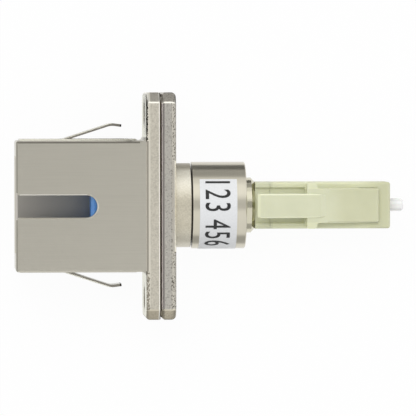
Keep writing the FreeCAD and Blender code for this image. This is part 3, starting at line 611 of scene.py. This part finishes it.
# Clear, faintly cool, with draw lines that are coarser than real.
glass_fibre, tree, place = new_material("clear_drawn_silica")
stretch = per_metre(draw_length, skin_grain, skin_grain)
stretched = add_node(tree, "Mapping", "Vector", {"Vector": place, "Scale": stretch})
drawn = add_node(tree, "TexNoise", "Fac", {"Vector": stretched, "Scale": 1.0})
colour = {0: drawn, 6: linear("#e4e9ec"), 7: linear("#f9fcfd")}
colour = add_node(tree, "Mix", 2, colour, data_type="RGBA")
gloss = {"Value": drawn, **noise_span, "To Min": 0.03, "To Max": 0.08}
gloss = add_node(tree, "MapRange", 0, gloss)
glass = {"Base Color": colour, "Roughness": gloss, "Transmission Weight": 0.8}
glass = add_node(tree, "BsdfPrincipled", 0, glass)
add_node(tree, "OutputMaterial", None, {"Surface": glass})
dress(glass_fibre, "fibre")

# Coil spring and fibre: cold-coiled steel wire and drawn silica, copied from their CAD nodes.
# The spring stands on the stem's tail and presses on the barrel, and the fibre is bonded in the
# ferrule.
merge_reach = 0.001 * MM
round_angle = math.radians(40)


def floating_copy(name, node):
    """Copy of a CAD node, welded and smoothed, in place of the node, which is hidden."""
    copy = bpy.data.objects.new(name, nodes[node].data.copy())
    bpy.context.collection.objects.link(copy)
    bpy.ops.object.select_all(action="DESELECT")
    copy.select_set(True)
    bpy.context.view_layer.objects.active = copy
    bpy.ops.object.mode_set(mode="EDIT")
    bpy.ops.mesh.select_all(action="SELECT")
    bpy.ops.mesh.remove_doubles(threshold=merge_reach)
    bpy.ops.object.mode_set(mode="OBJECT")
    bpy.ops.object.shade_smooth_by_angle(angle=round_angle)
    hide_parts(node)
    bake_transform(copy)


floating_copy("coil_spring", "ferrule_spring")
floating_copy("drawn_fibre", "fibre")

# Floor: a pale sheet that the adapter lies on, back down. What the lens and the metal see
# of it is close to white, and it keeps a soft shadow.
floor_size = 3.0
floor_white = 0.95


def seen_directly(tree):
    """One for rays from the lens, mirrored or passed through, none for scattered light."""
    rays = add_node(tree, "LightPath", None, {})
    seen = {0: rays["Is Camera Ray"], 1: rays["Is Glossy Ray"]}
    seen = add_node(tree, "Math", 0, seen, operation="MAXIMUM")
    return add_node(tree, "Math", 0, {0: seen, 1: rays["Is Transmission Ray"]}, operation="MAXIMUM")


bpy.ops.object.select_all(action="DESELECT")
bpy.ops.mesh.primitive_plane_add(size=floor_size, location=(0, 0, cad_box[0].z))
floor = bpy.context.object
floor.name = "floor"
pale_sheet, tree, place = new_material("pale_paper_sheet")
paper = add_node(tree, "BsdfDiffuse", 0, {"Color": linear("#f6f6f6")})
white = add_node(tree, "Emission", 0, {"Color": linear("#ffffff"), "Strength": 1.0})
share = add_node(tree, "Math", 0, {0: seen_directly(tree), 1: floor_white}, operation="MULTIPLY")
sheet = add_node(tree, "MixShader", 0, {0: share, 1: paper, 2: white})
add_node(tree, "OutputMaterial", None, {"Surface": sheet})
floor.data.materials.append(pale_sheet)

# Light: a white tent all round, one soft box above the far side, a narrow lamp into the keyway,
# and cards that only the metal sees, for the lens hood, two soft boxes and the tent's edges.
tent_level = 0.71
key_place = (-0.10, 0.24, 0.50)
world = bpy.data.worlds.new("white_tent")
bpy.context.scene.world = world
world.use_nodes = True
tree = world.node_tree
tree.nodes.clear()
level = {"Value": seen_directly(tree), "To Min": tent_level, "To Max": 1.0}
level = add_node(tree, "MapRange", 0, level)
tent = add_node(tree, "Background", 0, {"Color": linear("#ffffff"), "Strength": level})
add_node(tree, "OutputWorld", None, {"Surface": tent})

bpy.ops.object.select_all(action="DESELECT")
bpy.ops.object.light_add(type="AREA", location=key_place)
key = bpy.context.object
key.name = "soft_box"
key.data.size = 0.4
key.data.energy = 1.12
key.visible_glossy = False
key.rotation_euler = Vector(key_place).to_track_quat("Z", "Y").to_euler()

keyway_lamp_place = (-4.9 * MM, 0, 300 * MM)
bpy.ops.object.select_all(action="DESELECT")
bpy.ops.object.light_add(type="SPOT", location=keyway_lamp_place)
keyway_lamp = bpy.context.object
keyway_lamp.name = "keyway_lamp"
keyway_lamp.data.energy = 0.62
keyway_lamp.data.spot_size = math.radians(1.0)
keyway_lamp.data.shadow_soft_size = 2 * MM
keyway_lamp.visible_glossy = False

card_thickness = 0.2


def studio_card(name, level, low, high):
    """Card between two corners in millimetres, shining at a level that only the metal sees."""
    middle = [(a + b) / 2 * MM for a, b in zip(low, high)]
    bpy.ops.object.select_all(action="DESELECT")
    bpy.ops.mesh.primitive_cube_add(size=1, location=middle)
    card = bpy.context.object
    card.name = name
    card.dimensions = [max(b - a, card_thickness) * MM for a, b in zip(low, high)]
    paint, tree, _ = new_material(name + "_paint")
    glow = add_node(tree, "Emission", 0, {"Color": (level, level, level, 1), "Strength": 1.0})
    add_node(tree, "OutputMaterial", None, {"Surface": glow})
    card.data.materials.append(paint)
    card.visible_camera = False
    card.visible_diffuse = False
    card.visible_transmission = False
    card.visible_shadow = False


studio_card("lens_hood", 0.42, (-98, -55, 299), (56, 90, 300))
studio_card("far_box", 1.25, (-160, 75, 149), (170, 255, 150))
studio_card("right_box", 1.40, (75, -110, 149), (300, 74, 150))
studio_card("far_card", 0.44, (-70, 27, -4.75), (80, 27, 6.7))
studio_card("floor_card", 0.16, (2.5, 9.8, -4.7), (16, 23.8, -4.7))
studio_card("near_card", 0.50, (-70, -14, -4.75), (80, -14, 3.5))
studio_card("wing_card", 0.10, (-1.6, 6.9, -4.75), (-1.4, 11.5, 5.2))
studio_card("right_card", 1.35, (90, -40, -4.75), (90, 60, 30))

# Camera: straight above the keyway side, a little to the left, with a long lens.
# It is turned by the small angles that lay the adapter out as in the reference view.
camera_place = (-20.5035 * MM, 10.9978 * MM, 450 * MM)
camera_yaw = -3.39973
camera_pitch = -1.43404
camera_roll = -0.0689
camera_lens = 400.1
bpy.ops.object.select_all(action="DESELECT")
bpy.ops.object.camera_add(location=camera_place)
camera = bpy.context.object
camera.name = "camera"
camera.rotation_mode = "ZXY"
camera.rotation_euler = [math.radians(turn) for turn in (camera_pitch, camera_yaw, camera_roll)]
camera.data.lens = camera_lens
bpy.context.scene.camera = camera
bpy.context.scene.view_settings.view_transform = "Standard"
